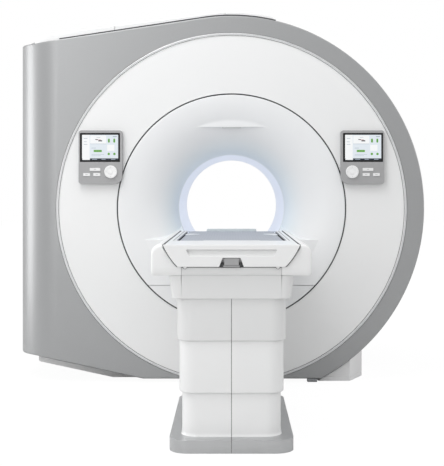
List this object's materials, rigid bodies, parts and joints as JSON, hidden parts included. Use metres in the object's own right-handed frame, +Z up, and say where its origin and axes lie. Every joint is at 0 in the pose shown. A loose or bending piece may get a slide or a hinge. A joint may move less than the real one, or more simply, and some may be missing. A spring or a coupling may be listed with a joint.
{
  "type": "mri scanner",
  "caption": "Wide-bore magnetic resonance scanner with a flared white entrance, grey side fascia, control panels and a lifting patient table with a sliding top.",
  "frame": {"origin": "on the floor under the isocentre, centred on the magnet's floor anchors", "axes": "+X to the right of someone facing the entrance, +Y into the bore, +Z up"},
  "size_m": [2.633, 3.551, 2.38],
  "materials": {
    "white_cover": "satin",
    "grey_cover": "metallic satin paint",
    "pale_skirt": "matte",
    "foot_rubber": "matte",
    "dark_window": "gloss",
    "bore_lining": "satin",
    "coil_resin": "cast resin",
    "vessel_steel": "satin",
    "foot_casting": "painted",
    "base_plate": "satin",
    "lift_steel": "satin",
    "lift_aluminium": "satin",
    "motor": "satin",
    "belt": "matte",
    "tabletop": "satin",
    "mattress": "coated vinyl",
    "latch_grey": "satin",
    "panel_grey": "satin",
    "screen": "gloss",
    "dial_white": "satin",
    "key_white": "satin"
  },
  "bodies": {
    "gantry": {"front_cover_ring": "white_cover", "funnel_upper": "white_cover", "funnel_lower_panel": "white_cover", "top_cover_left": "white_cover", "top_cover_middle": "white_cover", "top_cover_right": "white_cover", "rear_cover": "white_cover", "bore_bridge": "white_cover", "dock_fairing_left": "white_cover", "dock_fairing_right": "white_cover", "lower_shroud_left": "white_cover", "lower_shroud_right": "white_cover", "front_fascia": "grey_cover", "side_cover_left": "grey_cover", "side_cover_right": "grey_cover", "bottom_skirt_left": "pale_skirt", "foot_cover_right": "pale_skirt", "levelling_foot": "foot_rubber", "laser_window": "dark_window", "body_coil_tube": "bore_lining", "gradient_coil": "coil_resin", "magnet_vessel": "vessel_steel", "cold_head": "vessel_steel", "magnet_feet": "foot_casting", "table_base": "base_plate", "lift_column_outer": "lift_steel", "left_panel_housing": "panel_grey", "left_panel_screen": "screen", "right_panel_housing": "panel_grey", "right_panel_screen": "screen"},
    "middle_stage": {"middle_shroud_left": "white_cover", "middle_shroud_right": "white_cover", "lift_column_middle": "lift_steel"},
    "lift_table": {"upper_shroud_left": "white_cover", "upper_shroud_right": "white_cover", "lift_column_inner": "lift_steel", "support_front_panel": "white_cover", "support_side_left": "white_cover", "support_side_right": "white_cover", "table_wing_left": "white_cover", "table_wing_right": "white_cover", "table_frame": "lift_aluminium", "drive_motor": "motor", "drive_belt": "belt"},
    "sliding_top": {"cradle": "tabletop", "cradle_end_cap": "white_cover", "mattress": "mattress", "socket_housing": "white_cover"},
    "release_lever": {"release_handle": "latch_grey"},
    "left_dial_knob": {"left_dial": "dial_white"},
    "left_top_button": {"left_top_key": "key_white"},
    "left_inner_button": {"left_inner_key": "key_white"},
    "left_outer_button": {"left_outer_key": "key_white"},
    "right_dial_knob": {"right_dial": "dial_white"},
    "right_top_button": {"right_top_key": "key_white"},
    "right_inner_button": {"right_inner_key": "key_white"},
    "right_outer_button": {"right_outer_key": "key_white"}
  },
  "joints": [
    {"name": "table_lift", "type": "slide", "parent": "gantry", "child": "lift_table", "axis": [0, 0, 1], "range_m": [-0.4, 0]},
    {"name": "middle_stage_lift", "type": "slide", "parent": "gantry", "child": "middle_stage", "axis": [0, 0, 1], "range_m": [-0.2, 0]},
    {"name": "tabletop_slide", "type": "slide", "parent": "lift_table", "child": "sliding_top", "axis": [0, 1, 0], "range_m": [0, 1.7]},
    {"name": "release_lever_turn", "type": "hinge", "parent": "sliding_top", "child": "release_lever", "pos_m": [0, -2.651, 0.907], "axis": [-1, 0, 0], "range_deg": [0, 25], "stiffness_Nm_per_rad": 1, "springref_deg": -17.19},
    {"name": "left_dial_turn", "type": "hinge", "parent": "gantry", "child": "left_dial_knob", "pos_m": [-0.769, -0.93, 1.347], "axis": [0, 1, 0], "continuous": true},
    {"name": "left_top_press", "type": "slide", "parent": "gantry", "child": "left_top_button", "axis": [0, 1, 0], "range_m": [0, 0.0025], "stiffness_N_per_m": 800},
    {"name": "left_inner_press", "type": "slide", "parent": "gantry", "child": "left_inner_button", "axis": [0, 1, 0], "range_m": [0, 0.0025], "stiffness_N_per_m": 800},
    {"name": "left_outer_press", "type": "slide", "parent": "gantry", "child": "left_outer_button", "axis": [0, 1, 0], "range_m": [0, 0.0025], "stiffness_N_per_m": 800},
    {"name": "right_dial_turn", "type": "hinge", "parent": "gantry", "child": "right_dial_knob", "pos_m": [0.769, -0.93, 1.347], "axis": [0, 1, 0], "continuous": true},
    {"name": "right_top_press", "type": "slide", "parent": "gantry", "child": "right_top_button", "axis": [0, 1, 0], "range_m": [0, 0.0025], "stiffness_N_per_m": 800},
    {"name": "right_inner_press", "type": "slide", "parent": "gantry", "child": "right_inner_button", "axis": [0, 1, 0], "range_m": [0, 0.0025], "stiffness_N_per_m": 800},
    {"name": "right_outer_press", "type": "slide", "parent": "gantry", "child": "right_outer_button", "axis": [0, 1, 0], "range_m": [0, 0.0025], "stiffness_N_per_m": 800}
  ],
  "couplings": [
    {"joint": "middle_stage_lift", "follows": "table_lift", "ratio": 0.5}
  ]
}
